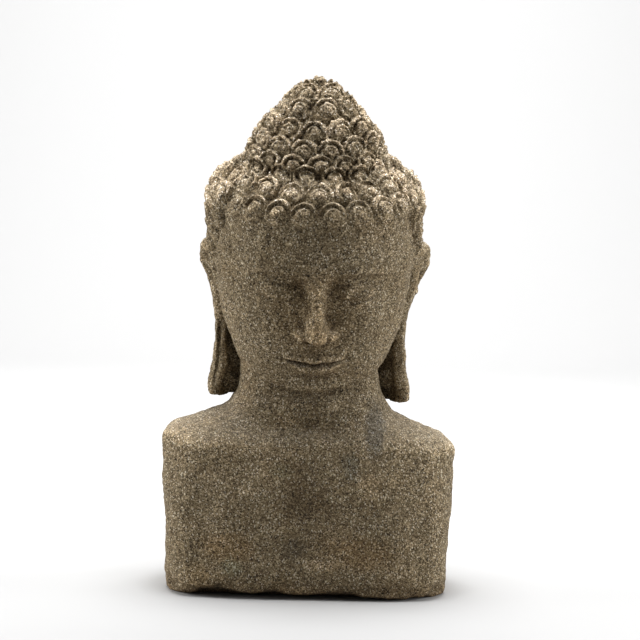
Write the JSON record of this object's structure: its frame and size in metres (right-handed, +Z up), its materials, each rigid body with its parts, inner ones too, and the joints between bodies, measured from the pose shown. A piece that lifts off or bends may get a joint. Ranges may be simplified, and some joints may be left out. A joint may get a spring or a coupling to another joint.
{
  "type": "carved stone buddha bust",
  "caption": "Free-standing stone bust: a bowed head with snail-shell curls, a topknot and long ears, on a neck and an armless chest block cut flat below.",
  "frame": {"origin": "on the floor under the middle of the bust's box", "axes": "+Z up, the face looks along -Y, and +X is to the right of someone facing it"},
  "size_m": [0.2528, 0.191, 0.4444],
  "materials": {
    "stone": "rough weathered volcanic stone, warm grey-brown with light and dark specks"
  },
  "bodies": {
    "root": {"buddha_bust": "stone"}
  },
  "joints": []
}
